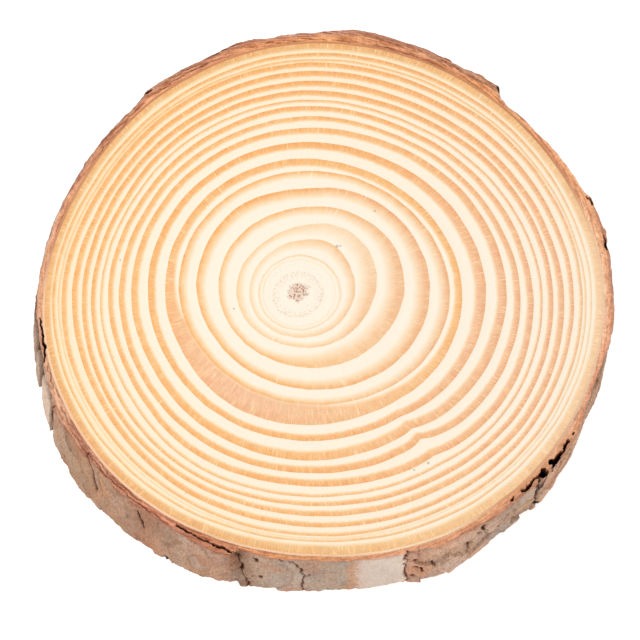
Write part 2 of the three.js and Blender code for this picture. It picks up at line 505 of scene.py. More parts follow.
# Between spring and summer the wood first turns yellow, then orange.
HONEY = paint("fbdfa6")
yellowing = node(tree, "Math", {0: summer_seen, 1: 1.1}, operation="MULTIPLY", use_clamp=True)
honey_wood = node(tree, "MixRGB", {"Fac": yellowing, "Color1": spring_tint, "Color2": HONEY})
oranging = node(tree, "Math", {0: summer_seen, 1: 1.35}, operation="POWER")
wood_colour = node(tree, "MixRGB", {"Fac": oranging, "Color1": honey_wood, "Color2": summer_tint})

# The young wood round the pith is more even than the old: it goes less dark and less pale.
YOUNG_REACH, OLD_REACH = 12, 30  # mm
darkest, palest = (
    node(tree, "MapRange", {
        "Value": distance, "From Min": YOUNG_REACH, "From Max": OLD_REACH, "To Min": young, "To Max": old,
    })
    for young, old in ((0.94, 0.84), (1.06, 1.15))
)
mottle_low = node(tree, "MapRange", {"Value": summer_seen, "To Min": 0.975, "To Max": darkest})
mottle_high = node(tree, "MapRange", {"Value": summer_seen, "To Min": 1.02, "To Max": palest})
mottle = node(tree, "MapRange", {
    "Value": grains, "From Min": 0.7, "From Max": 1.3, "To Min": mottle_low, "To Max": mottle_high})
mottled = node(tree, "VectorMath", {0: wood_colour, "Scale": mottle}, operation="SCALE")

# The pith is soft cork with brown granules, about 0.4 mm each, and the first year round it is speckled.
GRANULE = paint("ab7a64")
CORK = paint("eed6c2")
SPECKLE = paint("bfa08f")
granule_cells = node(tree, "TexVoronoi", {"Vector": in_mm, "Scale": 2.3}, out="Distance")
granules = node(tree, "MapRange", {"Value": granule_cells, "From Min": 0.5, "From Max": 0.25})
speckle_cells = node(tree, "TexVoronoi", {"Vector": in_mm, "Scale": 3.0}, out="Distance")
speckles = node(tree, "MapRange", {"Value": speckle_cells, "From Min": 0.42, "From Max": 0.2})
cork_noise = node(tree, "TexNoise", {"Vector": in_mm, "Scale": 0.9, "Detail": 3.0})
cork_edge = node(tree, "Math", {0: cork_noise, 1: 2.6, 2: distance}, operation="MULTIPLY_ADD")
cork_mask = node(tree, "MapRange", {
    "Value": cork_edge, "From Min": PITH_RADIUS + 1.5, "From Max": PITH_RADIUS + 0.9})
FIRST_YEAR_REACH = 5.9  # mm
near_pith = node(tree, "MapRange", {
    "Value": distance, "From Min": FIRST_YEAR_REACH + 0.4, "From Max": FIRST_YEAR_REACH})
first_year = node(tree, "MapRange", {
    "Value": into_summer, "From Min": -1.5, "From Max": 0.4, "To Max": 0.75})
first_band = node(tree, "Math", {0: near_pith, 1: first_year}, operation="MULTIPLY")
first_specks = node(tree, "Math", {0: speckles, 1: first_band}, operation="MULTIPLY")
cork = node(tree, "MixRGB", {"Fac": granules, "Color1": CORK, "Color2": GRANULE})
finished = node(tree, "MixRGB", {"Fac": first_specks, "Color1": mottled, "Color2": SPECKLE})
finished = node(tree, "MixRGB", {"Fac": cork_mask, "Color1": finished, "Color2": cork})

# A few tiny knots and resin specks: degrees, distance from the pith and radius in mm.
KNOT_BROWN = paint("a58d7b")
SPECKS = [
    (52, 12.7, 0.35), (50, 13.2, 0.22), (49, 23.6, 0.25), (161, 24.2, 0.22), (169, 36.4, 0.2),
    (196, 13.3, 0.22), (301, 44.2, 0.22), (305, 44.5, 0.28), (88, 41.0, 0.15), (243, 47.9, 0.15),
]
for turn, far, size in SPECKS:
    spot = tuple(stem_points(far, turn, 0))
    gap = node(tree, "VectorMath", {0: flat_place, 1: spot}, operation="DISTANCE", out="Value")
    mark = node(tree, "MapRange", {
        "Value": gap, "From Min": size * 1.3, "From Max": size * 0.5, "To Max": 0.6})
    finished = node(tree, "MixRGB", {"Fac": mark, "Color1": finished, "Color2": KNOT_BROWN})
tree.links.new(finished, shader.inputs["Base Color"])
roughness = node(tree, "MapRange", {"Value": summer_seen, "To Min": 0.78, "To Max": 0.6})
tree.links.new(roughness, shader.inputs["Roughness"])
height = node(tree, "Math", {0: stipple, 1: 0.5, 2: summer_seen}, operation="MULTIPLY_ADD")
bump = node(tree, "Bump", {"Height": height, "Strength": 0.12, "Distance": 0.06 * MM})
tree.links.new(bump, shader.inputs["Normal"])
wood.data.materials.append(pine)
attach(wood, "root")
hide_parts("wood_slice")

# ---------------------------------------------------------------------------------------------------------
# Bark: the living inner bark and the dry outer plates of a young pine, grown on the wood and sawn through
# with it. It is 1 to 3.6 mm thick, crumbly where it is cut, and grey-brown and cracked along the stem on
# the outside. The plates overlap like worn shingles, and each ends in a step.
# ---------------------------------------------------------------------------------------------------------
# The outer edge of the bark on the upper face: (degrees, distance from the pith in mm), plate by plate.
BARK_PLATES = [
    [(-17, 61.8), (-12, 62.8), (-5, 63.3), (4, 63.1), (10, 63.0), (12, 63.6), (14, 63.2), (18, 63.0)],
    [(19.5, 62.9), (21, 62.0), (28, 61.4), (36, 60.5), (43.5, 59.8), (46.5, 60.3)],
    [(48, 62.1), (53, 61.6), (56, 61.0), (62, 61.0), (72, 60.6), (76, 60.5)],
    [(79, 60.5), (82.5, 59.7), (88, 58.6), (97, 57.9)],
    [(98.5, 58.0), (102, 57.9), (106, 57.2)],
    [(108, 56.7), (112, 56.0), (118, 55.4), (124.5, 55.1)],
    [(126, 54.3), (130, 53.4), (136, 52.8), (142, 52.3), (150, 51.8), (160, 51.7)],
    [(166, 51.8), (173, 52.0), (182, 52.3)],
    [(184.5, 52.4), (190, 52.2), (196, 52.5), (200, 53.0), (205, 53.4)],
    [(207, 54.4), (215, 54.0), (224, 54.1), (236, 54.8), (246, 55.6), (254, 57.0), (256.8, 57.0)],
    [(258.3, 55.3), (264, 56.0), (268, 56.4)],
    [(269.5, 56.4), (276, 56.9), (282, 57.6), (290, 58.8)],
    [(292, 58.7), (297, 60.0), (304, 60.7), (312, 61.1), (317, 61.7)],
    [(319.3, 62.2), (324, 62.6), (329, 62.6), (333, 62.4), (337, 61.9), (340, 61.7)],
]
BARK_OUTLINE = [point for plate in BARK_PLATES for point in plate]
# How much farther out the bark reaches at the lower face than at the upper one: (degrees, mm).
LOWER_SPREAD = [
    (20, 0.2), (60, -0.4), (100, 0.3), (140, 0.5), (165, 0.4), (183, 0.8), (195, 1.1), (202, 1.1),
    (205, 0.8), (211, 2.0), (216, 2.1), (226, 2.0), (238, 1.7), (250, 0.7), (256, -0.7), (258.5, 1.5),
    (264, 0.5), (270, 0.2), (282, 0.3), (290, -0.2), (292, 0.7), (298, 0.5), (306, -0.6), (318, -1.0),
    (322, -0.9), (328, -1.1), (337, -0.5), (343, 0.4), (350, -0.2),
]
# Cracks in the outer wall, darkened with painted shade: points as (degrees, height in mm), then width and
# depth in mm.
WALL_CRACKS = [
    ([(220, 18), (222, 14), (222.5, 11), (223.5, 6.5)], 0.5, 0.7),
    ([(224.5, 13), (225, 9)], 0.4, 0.4),
    ([(235.5, 14.5), (236.5, 11.5), (237, 8.5)], 0.6, 0.7),
    ([(241.6, 0), (242.3, 1.8), (243.0, 0)], 0.7, 1.2),
    ([(257.4, 18.2), (257.9, 14.5), (259.0, 11), (258.7, 7.5), (259.7, 3.5), (260.1, -0.2)], 0.36, 0.7),
    ([(258.9, 9.5), (258.8, 7.5)], 0.6, 1.0),
    ([(261.5, 15.5), (261.9, 14.6)], 0.6, 0.6),
    ([(262.3, 6.5), (262.6, 5.6)], 0.6, 0.6),
    ([(266.5, 17), (269, 15), (270.5, 13), (271, 11)], 0.4, 0.6),
    ([(271, 11), (271.5, 8), (270.8, 6), (271, -0.2)], 0.33, 0.45),
    ([(271.5, 8.3), (273, 10)], 0.33, 0.4),
    ([(291.3, 18.2), (291.0, 9), (291.4, -0.2)], 0.4, 0.5),
    ([(292.6, 12), (293.4, 10.5), (294.3, 10.8)], 0.45, 0.7),
    ([(293, 8.5), (294.2, 7.2), (294, 5)], 0.5, 0.8),
    ([(292.2, 4), (293.2, 3)], 0.5, 0.7),
    ([(296.6, 8.6), (296.3, 7.2), (297.0, 6.2), (298.2, 6.4), (299.0, 8.0)], 0.36, 0.55),
    ([(303.5, 9), (304.3, 7), (304.0, 5)], 0.4, 0.8),
    ([(306.5, 16), (307.4, 13), (306.8, 11), (308.4, 8)], 0.4, 0.85),
    ([(306, 13), (306.5, 10)], 0.4, 0.5),
    ([(309.5, 9), (310, 7.5), (311.4, 6.8)], 0.45, 0.8),
    ([(312, 14), (311.6, 9)], 0.4, 0.45),
    ([(313.4, 12.6), (314.4, 11.2), (315.2, 8.5)], 0.4, 0.8),
    ([(320.2, 16.5), (320.0, 11.5)], 0.6, 1.6),
    ([(320.0, 11.5), (319.8, 7), (320.4, 3)], 0.45, 1.1),
    ([(320.4, 3), (321.2, -0.3)], 0.6, 1.3),
    ([(317, 16.6), (313, 15.2), (309, 13.8), (306, 13.4)], 0.3, 0.4),
    ([(311.2, 12.8), (309.6, 11.6), (310.4, 9.8)], 0.4, 0.8),
    ([(326, 14), (327, 11)], 0.5, 0.7),
    ([(331, 10), (332, 7)], 0.5, 0.7),
    ([(201.5, 13), (201.2, 10)], 0.45, 0.7),
    ([(200.5, 9), (198, 4), (196.5, -0.2)], 0.5, 0.8),
    ([(207, 18.2), (206.4, 9), (206, -0.2)], 0.45, 0.7),
    ([(336.5, 15), (337.3, 9), (336.2, -0.2)], 0.5, 0.8),
    ([(344, 14), (345.2, 8), (344.2, 3)], 0.4, 0.5),
    ([(352, 16), (353.6, 11), (352.4, 8)], 0.36, 0.45),
    ([(6, 12), (7.6, 6), (6, -0.2)], 0.5, 0.75),
    ([(19.6, 16.5), (20.8, 10), (19.0, -0.2)], 0.5, 0.8),
    ([(31, 15), (31.9, 7)], 0.5, 0.6),
    ([(47, 16.2), (45.9, 12), (47.9, 5), (46.6, -0.2)], 0.6, 0.8),
    ([(61, 16), (63.6, 12), (62.2, 9)], 0.36, 0.5),
    ([(71, 10), (69.4, 4), (71, -0.2)], 0.5, 0.7),
    ([(81, 15), (80.4, 9), (81.3, -0.2)], 0.5, 0.8),
    ([(91, 13), (94, 9)], 0.34, 0.45),
    ([(106.8, 15.5), (107.4, 8), (106.6, -0.2)], 0.5, 0.8),
    ([(117, 14), (118.9, 8), (117.4, 5)], 0.4, 0.5),
    ([(126, 16), (125.4, 10), (126.3, -0.2)], 0.5, 0.8),
    ([(138, 12), (140.6, 5)], 0.36, 0.5),
    ([(150, 15), (150.8, 11), (150, 5)], 0.4, 0.5),
    ([(163, 17), (164.4, 8), (162.2, -0.2)], 0.44, 0.5),
    ([(175, 13), (176, 6), (175.2, -0.2)], 0.5, 0.8),
]
# Splits seen on the upper face: open ones between the inner bark and a loose outer plate, the gap behind
# the flakes at the west, notches in the outer edge, and shallow dark lines between sheets of bark. Each is
# darkened with painted shade, more for a deeper one. Points as (degrees, distance from the pith in mm),
# then width and depth in mm.
FACE_SPLITS = [
    ([(244.5, 54.7), (249, 55.0), (253, 55.5)], 0.24, 1.6),
    ([(253, 55.5), (255.5, 55.9), (257.3, 56.1)], 0.38, 2.4),
    ([(329.4, 61.9), (327, 62.0), (325.5, 62.0)], 0.32, 3.0),
    ([(325.5, 62.0), (324.5, 61.8), (323.9, 61.4)], 0.6, 4.0),
    ([(323.9, 61.8), (322.8, 62.4)], 0.3, 2.0),
    ([(330.9, 61.8), (330.6, 61.8)], 0.3, 1.5),
    ([(321.5, 61.4), (320.8, 61.8), (320.2, 62.4)], 0.92, 5.0),
    ([(320.6, 61.3), (318.7, 61.0), (317.7, 61.0)], 0.45, 3.0),
    ([(317.7, 61.0), (316.8, 60.9), (316.0, 60.8)], 0.28, 2.0),
    ([(313.9, 60.5), (313.3, 60.4)], 0.3, 1.5),
    ([(50, 60.6), (57, 60.0), (64, 59.6)], 0.2, 0.15),
    ([(66, 58.6), (74, 58.0), (82, 57.4)], 0.2, 0.15),
    ([(84, 57.6), (91, 56.8), (97, 56.6)], 0.2, 0.15),
    ([(48.3, 61.9), (47.6, 61.2)], 0.3, 1.2),
    ([(104.0, 57.4), (106.5, 57.0), (108.2, 56.5)], 0.26, 0.9),
    ([(110, 54.9), (117, 54.2), (124, 53.4)], 0.2, 0.2),
    ([(112.5, 55.4), (119, 54.9)], 0.2, 0.15),
    ([(124.0, 54.8), (125.6, 54.7)], 0.3, 1.4),
    ([(128, 52.6), (136, 51.5), (146, 50.9)], 0.2, 0.15),
    ([(186.4, 51.9), (190, 51.5), (194, 51.7), (196.6, 52.3)], 0.26, 2.0),
    ([(197.5, 51.9), (203, 52.4)], 0.2, 0.2),
    ([(208, 52.7), (216, 53.0), (226, 53.3), (236, 53.8)], 0.2, 0.15),
    ([(218, 53.5), (226, 53.8), (234, 54.3), (243, 54.8)], 0.2, 0.2),
    ([(18.4, 62.9), (19.7, 62.5)], 0.3, 1.4),
    ([(8.8, 62.9), (11.2, 63.0)], 0.26, 1.2),
]
# The colour of the wall round the stem by degrees, and of the cut bark from the wood outwards.
WALL_TINTS = [
    (0, "b28f78"), (16, "b4886c"), (30, "c09a80"), (44, "b38a70"), (50, "8d7163"), (74, "957869"),
    (84, "b0866a"), (100, "b59780"), (112, "a98468"), (126, "b89a86"), (140, "b8a190"), (150, "b08a70"),
    (165, "a88872"), (180, "ab8670"), (198, "b49682"), (201, "d3b7a2"), (206, "d6bba6"), (207, "b99a84"),
    (212, "ae8c76"), (217, "ab8970"), (222, "b28a70"), (228, "b68e74"), (232, "b58d75"), (238, "a97c64"),
    (242, "b38b73"), (250, "b79078"), (256, "b68e78"), (258, "8f6a55"), (262, "b59884"), (266, "c2a795"),
    (274, "b49c8c"), (279.2, "b9a08e"), (280.6, "c99b7a"), (282.4, "dcc6b9"), (286, "dfccc0"),
    (290.5, "e2cfc2"), (291.3, "bb8b74"), (293, "c69a82"), (296, "cda48c"), (300, "d4ad96"), (305, "c9a690"),
    (309, "c0a08e"), (313, "b39888"), (317, "bc9c84"), (323, "d2a88e"), (328, "cca186"), (340, "bd967e"),
]
CUT_LAYERS = [
    # degrees, first line, inner bark, middle, outer bark
    (0, "f4cfae", "f8cfac", "e8ab85", "c08e76"),
    (12, "f2c8a2", "f6c79f", "e8ad84", "c48d6e"),
    (24, "d39a70", "dea27c", "e2a074", "e8b28a"),
    (36, "c4855f", "d3916a", "df9d70", "e4a680"),
    (48, "d09468", "ecaa78", "e5a270", "c99a7c"),
    (60, "c68862", "c68662", "dca27b", "b58066"),
    (72, "cf9068", "cf906a", "dc9b72", "b07a62"),
    (84, "cb8c60", "e6a470", "da9a6c", "c7937a"),
    (96, "cf9068", "e4a274", "cf875c", "cb967a"),
    (108, "cc8c64", "ca8864", "d09674", "b67c62"),
    (120, "c8885f", "e4a67e", "cd8d6a", "bf8c72"),
    (132, "c48660", "dc9d78", "c28464", "b68773"),
    (150, "cf9468", "cd9270", "d89a76", "b88870"),
    (168, "c89070", "d69876", "e2a884", "cfae9a"),
    (180, "f0c6a2", "dba884", "e0a480", "d6aa90"),
    (195, "f6d0aa", "dcac8a", "d8a584", "c69c84"),
    (205, "f6d0ac", "d0a080", "dcae90", "c49c84"),
    (216, "f4c9a6", "c48c70", "d6a086", "c08a70"),
    (230, "f8cfac", "c08a6c", "d5997c", "c58c70"),
    (242, "fad2b0", "c48667", "d08e70", "bb8066"),
    (252, "eec7a0", "c08060", "d8997a", "b0765c"),
    (264, "f8d2ae", "b5785a", "e09c6c", "dc9f7e"),
    (276, "f0c8a4", "cb8f6c", "d8996a", "cf957a"),
    (288, "fadcb8", "e2ac88", "dd9f78", "eab08e"),
    (300, "fadcb8", "dba680", "e0a27e", "c48a6c"),
    (312, "d8a078", "e4a67c", "d49a78", "bd8468"),
    (324, "deab88", "e0a880", "cc9872", "b08266"),
    (336, "e8c4a8", "e2b294", "e3a884", "d69c7c"),
    (348, "f4ccaa", "edb894", "e8ac88", "e2a686"),
]
CRUMBLE = 0.22  # mm, how rough the cut bark is
FACE_LINES, WALL_LINES, UNDER_LINES = 19, 55, 6
FAR_STEPS, NEAR_STEPS = 440, 860  # the mesh is finer on the near side
NEAR_START, NEAR_END = 184, 348  # degrees
TUCKED_IN = 0.25  # mm that the inner bark runs under the wood's rim
TUCKED_UNDER = 0.03  # mm that it lies lower than the wood there
EDGE_ROUND = 0.15  # mm
MEAN_REACH = 57.0  # mm, for turning degrees round the wall into mm along it
WALL_ROUND = 2 * math.pi * MEAN_REACH  # mm


def through(stops, degrees, column=1):
    """A value round the stem, straight from one given direction to the next."""
    return np.interp(degrees, [s[0] for s in stops], [s[column] for s in stops], period=360)


def tint_through(stops, degrees, column=1):
    """A colour round the stem, blended from one given direction to the next."""
    colours = np.array([paint(s[column]) for s in stops])
    turns = [s[0] for s in stops]
    return np.stack([np.interp(degrees, turns, colours[:, c], period=360) for c in range(4)], -1)


def eased(value, low, high):
    """0 below low, 1 above high, and a smooth ramp between them."""
    t = np.clip((value - low) / (high - low), 0, 1)
    return t * t * (3 - 2 * t)


def line_depth(
    across, up, lines_given, shoulder_reach, shoulder_part=0.22, core_from=0.3, core_to=0.85, narrower=1.0,
):
    """How deep cracks cut in mm, and how much painted shade darkens them, at places in mm on a flat layout.
    A crack's side slopes from core_from to core_to of its width away from its line. The bark also sinks
    softly towards it, from shoulder_reach in mm away, by shoulder_part of its depth. Above 1, narrower thins
    the crack."""
    depth, painted_shade = np.zeros(across.shape), np.zeros(across.shape)
    for points, width, deep in lines_given:
        near = np.full(across.shape, 1e3)
        flat = [(math.radians(turn) * MEAN_REACH, height) for turn, height in points]
        for (x1, y1), (x2, y2) in zip(flat, flat[1:]):
            dx, dy = x2 - x1, y2 - y1
            ax = wrapped(across - x1, WALL_ROUND)
            t = np.clip((ax * dx + (up - y1) * dy) / (dx * dx + dy * dy), 0, 1)
            near = np.minimum(near, np.hypot(ax - t * dx, up - y1 - t * dy))
        core = 1 - eased(near * narrower, width * core_from, width * core_to)
        shoulder = 1 - eased(near, 0, width + shoulder_reach)
        depth = np.maximum(depth, deep * ((1 - shoulder_part) * core + shoulder_part * shoulder ** 2))
        # Painted shade: a crack wider than 0.5 mm is painted dark right up to its lip, and one deeper than
        # 1.25 mm is painted quite dark.
        lip = min(0.18, max(0, width - 0.5))
        shaded_core = 1 - eased(near * narrower - lip, width * core_from, width * core_to)
        painted_shade = np.maximum(painted_shade, shaded_core * min(1, 0.25 + 0.6 * deep))
    return depth, painted_shade


bark_degrees = np.concatenate([
    np.linspace(NEAR_END - 360, NEAR_START, FAR_STEPS, endpoint=False),
    np.linspace(NEAR_START, NEAR_END, NEAR_STEPS, endpoint=False),
])
bark_steps = len(bark_degrees)
wall_levels = np.linspace(THICK - EDGE_ROUND, EDGE_ROUND, WALL_LINES)
turn_grid, level_grid = np.meshgrid(bark_degrees, wall_levels)
on_wall = stem_points(MEAN_REACH, turn_grid, level_grid).reshape(-1, 3)


def wall_rough(size, stretch, octaves, seed):
    """Unevenness of the wall: lumps of a size in mm, stretched along the stem."""
    return rough(on_wall * [1, 1, 1 / stretch], size, octaves, seed).reshape(turn_grid.shape)


jag_across = wall_rough(1.6, 1.0, 3, 1)
jag_up = wall_rough(2.2, 1.0, 2, 2)
# On the old bark at the back the cracks wander more and are less jagged. All in mm.
JAGGED, LESS_JAGGED, JAGGED_UP, WANDERING = 0.55, 0.2, 0.5, 1.6
NEAR_MIDDLE = (NEAR_START + NEAR_END) / 2
FRONT_UP_TO, BACK_FROM = 82, 96  # degrees to each side of the near middle
at_back = eased(np.abs(wrapped(turn_grid - NEAR_MIDDLE, 360)), FRONT_UP_TO, BACK_FROM)
across = np.radians(turn_grid) * MEAN_REACH + (JAGGED - LESS_JAGGED * at_back) * jag_across
across += WANDERING * at_back * wall_rough(7.0, 1.8, 2, 17)
up = level_grid + JAGGED_UP * jag_up

# Scales: small overlapping plates of dead bark, 3 to 7 mm long, each a little higher or lower.
chance = random.Random(11)
SCALE_COUNT = 340
SCALE_STRETCH = 1.7  # how much longer along the stem than round it
scale_seeds = np.array([
    (chance.uniform(0, WALL_ROUND), chance.uniform(-2, THICK + 2), chance.random(), chance.random())
    for _ in range(SCALE_COUNT)
])
best = np.full(turn_grid.shape, 1e3)
second = np.full(turn_grid.shape, 1e3)
owner = np.zeros(turn_grid.shape, int)
for index, (seed_x, seed_z, _, _) in enumerate(scale_seeds):
    gap = wrapped(across + 0.7 * jag_up - seed_x, WALL_ROUND)
    far = np.hypot(gap, (up - seed_z) / SCALE_STRETCH)
    closer = far < best
    second = np.where(closer, best, np.minimum(second, far))
    owner = np.where(closer, index, owner)
    best = np.minimum(best, far)
GROOVE_WIDE, SHADE_LINE_WIDE, FAR_IN = 0.45, 0.22, 1.2  # mm from a scale's edge
broken = eased(wall_rough(2.8, 1.5, 2, 12), -0.25, 0.2)
scale_edge = (1 - eased(second - best, 0.0, GROOVE_WIDE)) * broken
scale_shade_line = (1 - eased(second - best, 0.0, SHADE_LINE_WIDE)) * broken
scale_height = scale_seeds[owner, 2]
scale_tone = scale_seeds[owner, 3]
scale_far_in = eased(second - best, 0.0, FAR_IN)

# One plate at the front has lost its scales and is smooth, from 282 to 291 degrees.
smooth_patch = eased(turn_grid % 360, 281.5, 282.5) * (1 - eased(turn_grid % 360, 290.5, 291.5))
calm = 1 - 0.75 * smooth_patch
below_edge = eased(THICK - level_grid, 0.1, 2.0)
uneven_width = np.clip(1 + 0.7 * wall_rough(1.7, 1.6, 2, 15), 0.85, 2.4)
# How deep the wall's cracks cut, and how much painted shade darkens them.
crack_deep, painted_crack_shade = line_depth(across, up, WALL_CRACKS, 1.3, narrower=uneven_width)
# The cracks are shallower where they run out at the lower face.
crack_deep *= 0.45 + 0.55 * eased(level_grid, 0.0, 2.0)
# Where the bark is oldest it is rugged: (degrees, 0 to 1).
RUGGED = [
    (0, 0.3), (20, 0.6), (46, 0.3), (52, 0.9), (76, 0.9), (82, 0.3), (104, 0.8), (124, 0.7), (130, 0.2),
    (150, 0.5), (178, 0.5), (195, 0.3), (210, 0.2), (256, 0.2), (260, 0.1), (291, 0.1), (294, 1.0),
    (316, 1.0), (322, 0.5), (340, 0.5), (350, 0.9),
]
rugged = through(RUGGED, turn_grid)
stray = 0.9 * rough(on_wall / [9, 9, 5], 1.0, 2, 3).reshape(turn_grid.shape) * below_edge
wall_reach = through(BARK_OUTLINE, turn_grid + stray)
wall_reach += through(LOWER_SPREAD, turn_grid) * (1 - level_grid / THICK)
# The relief of the wall in mm, from slow swells to fine grain. It is weaker at the sawn edge.
SWELLS, SWELLS_AT_EDGE, LUMPS, GRAIN = 0.3, 0.15, 0.20, 0.08
SCALE_RISE, SCALE_GROOVE = 0.95, 0.28
wall_reach += (SWELLS_AT_EDGE + SWELLS * below_edge) * wall_rough(9, 1.8, 2, 4) * calm
scale_step = (0.35 + 0.65 * rugged) * (0.25 + 0.75 * below_edge) * calm
wall_reach += SCALE_RISE * (scale_height - 0.5) * scale_step - SCALE_GROOVE * scale_edge * scale_step
wall_reach += LUMPS * wall_rough(2.4, 1.6, 3, 5) * calm + GRAIN * wall_rough(0.7, 2.2, 2, 6)
wall_reach -= crack_deep

bark_wood_edge = year_edges(bark_degrees)[-1]
face_part = np.linspace(0, 1, FACE_LINES)[:, None]
face_inner = bark_wood_edge - TUCKED_IN
face_reach = face_inner + (wall_reach[0] - face_inner) * face_part
face_turn = np.repeat(bark_degrees[None, :], FACE_LINES, 0)
flat_face = stem_points(face_reach, face_turn, 0).reshape(-1, 3)
crumbs = rough(flat_face, 0.9, 3, 7).reshape(face_turn.shape)
jag_face = rough(flat_face, 1.4, 2, 8).reshape(face_turn.shape)
SPLIT_JAG = 0.4  # mm
split_across = np.radians(face_turn) * MEAN_REACH + SPLIT_JAG * crumbs
# How deep the splits of the cut face cut, and how much painted shade darkens them.
split_deep, painted_split_shade = line_depth(
    split_across, face_reach + SPLIT_JAG * jag_face, FACE_SPLITS, 0.1, 0.03, 0.55, 0.7)
from_wood = face_reach - bark_wood_edge
loose = eased(from_wood, 0.0, 0.8)
face_level = THICK - RELIEF - TUCKED_UNDER - loose * CRUMBLE * (0.55 + 0.45 * crumbs) - split_deep
# The outermost line drops almost to the first line of the wall, so that the edge is rounded.
RIM_ABOVE = 0.02  # mm, at most
face_level[-1] = np.minimum(face_level[-1], wall_levels[0] + RIM_ABOVE)

under_part = np.linspace(1, 0, UNDER_LINES)[:, None]
under_reach = face_inner + (wall_reach[-1] - face_inner) * under_part
UNDER_HOLLOW = 0.08  # mm
under_level = RELIEF + TUCKED_UNDER + 0 * under_reach + UNDER_HOLLOW * np.sin(under_part * math.pi)

bark_reach = np.concatenate([face_reach, wall_reach, under_reach])
bark_level = np.concatenate([face_level, level_grid, under_level])
bark_points = stem_points(bark_reach, bark_degrees, bark_level).reshape(-1, 3)
bark_rows = len(bark_reach)
bark_faces = []
for line in range(bark_rows):
    below = (line + 1) % bark_rows
    bark_faces += ring_faces(line * bark_steps, below * bark_steps, bark_steps)

# Colours: the cut layers on both sawn faces, the weathered wall outside.
layers = [tint_through(CUT_LAYERS, face_turn, column) for column in (1, 2, 3, 4)]
stray_layer = 0.25 * jag_face + 0.12 * crumbs
layer_at = face_part + stray_layer * 0.6
first_line = (1 - eased(from_wood, 0.3, 0.45))[..., None]
to_middle = eased(layer_at, 0.42, 0.58)[..., None]
# How far through the bark its dark outer layer starts: (degrees, part of the thickness).
OUTER_FROM = [
    (0, 0.78), (12, 0.75), (36, 0.7), (48, 0.68), (60, 0.62), (76, 0.7), (100, 0.72), (130, 0.75),
    (200, 0.8), (256, 0.72), (262, 0.86), (290, 0.9), (310, 0.78), (340, 0.85),
]
outer_from = through(OUTER_FROM, face_turn)
to_outer = eased(layer_at - outer_from, -0.08, 0.08)[..., None]
face_tint = blend(layers[1], layers[2], to_middle)
face_tint = blend(face_tint, layers[3], to_outer)
face_tint = blend(face_tint, layers[0], first_line)
RUST, GREY_SCALE, CRUMBLY_RED = paint("b9744c"), paint("c4b3a6"), paint("a5664c")
wall_tint = tint_through(WALL_TINTS, turn_grid + 1.1 * jag_across)
# About one scale in seven is rusty and one in six is grey.
MOST_RUST, MOST_GREY = 0.35, 0.3
rusty = (eased(scale_tone, 0.8, 0.9) * (1 - smooth_patch) * scale_far_in)[..., None] * MOST_RUST
greyed = (eased(scale_tone, 0.25, 0.1) * scale_far_in)[..., None] * MOST_GREY
# A scale that stands higher is paler, and the colour wanders between lighter and darker, warm and cool.
wall_tint = wall_tint * (0.92 + 0.16 * scale_height[..., None])
wall_tint = wall_tint * (1 + 0.15 * wall_rough(4.5, 1.5, 3, 14) * calm)[..., None]
warm = (wall_rough(3.6, 2.0, 3, 16) * calm)[..., None] * [0.08, -0.01, -0.1, 0.0]
wall_tint = wall_tint * (1 + warm) * [1.0, 0.98, 0.93, 1.0]
wall_tint = blend(blend(wall_tint, RUST, rusty), GREY_SCALE, greyed)
# Just under the upper face the saw broke the wall's skin, down to redder bark: (degrees, 0 to 1).
BROKEN_SKIN = [(200, 0.25), (208, 0.9), (255, 0.9), (260, 0.35), (340, 0.3), (180, 0.3)]
SKIN_FROM, SKIN_TO = 1.7, 0.5  # mm below the upper face
sawn_rim = eased(level_grid + 0.7 * jag_up, THICK - SKIN_FROM, THICK - SKIN_TO)
wall_tint = blend(wall_tint, CRUMBLY_RED, (sawn_rim * through(BROKEN_SKIN, turn_grid))[..., None])
under_tint = np.stack([layers[k][0] for k in (3, 3, 2, 2, 1, 0)])  # from the outside in
bark_tint = np.concatenate([face_tint, wall_tint, under_tint])
# Painted shade along the lines where one scale of the wall steps over the next, stronger where the step is
# higher.
SCALE_STEP_PAINTED_SHADE = 0.3
painted_wall_shade = np.maximum(painted_crack_shade, SCALE_STEP_PAINTED_SHADE * scale_shade_line * scale_step)
# Painted shade stored for the material: in the splits of the cut face and in the cracks and scale lines of
# the wall, with none on the underside.
painted_bark_shade = np.concatenate([painted_split_shade, painted_wall_shade, 0 * under_reach])
bark_sawn = np.concatenate([0 * face_reach + 1, 0 * wall_reach, 0 * under_reach + 1])
# The living line next to the wood is smooth; the rest is crumbly.
bark_crumbly = np.concatenate([eased(from_wood, 0.2, 0.6), 1 - 0.6 * smooth_patch, 0 * under_reach + 1])
# How plainly the thin sheets of the cut bark show: (degrees, 0 to 1).
SHEETED = [
    (0, 0.4), (20, 0.7), (48, 1.0), (140, 1.0), (175, 0.6), (200, 0.8), (256, 1.0), (266, 0.5), (340, 0.5),
]
bark_sheeted = np.concatenate([through(SHEETED, face_turn), 0 * wall_reach, 0 * under_reach + 1])
bark = make_piece(
    "bark", bark_points, bark_faces,
    {"painted_shade": painted_bark_shade, "sawn": bark_sawn, "crumbly": bark_crumbly, "sheeted": bark_sheeted},
    {"bark_tint": bark_tint},
)
bark.data.shade_smooth()
BARK_SHARP = 55  # degrees
bark.data.set_sharp_from_angle(angle=math.radians(BARK_SHARP))

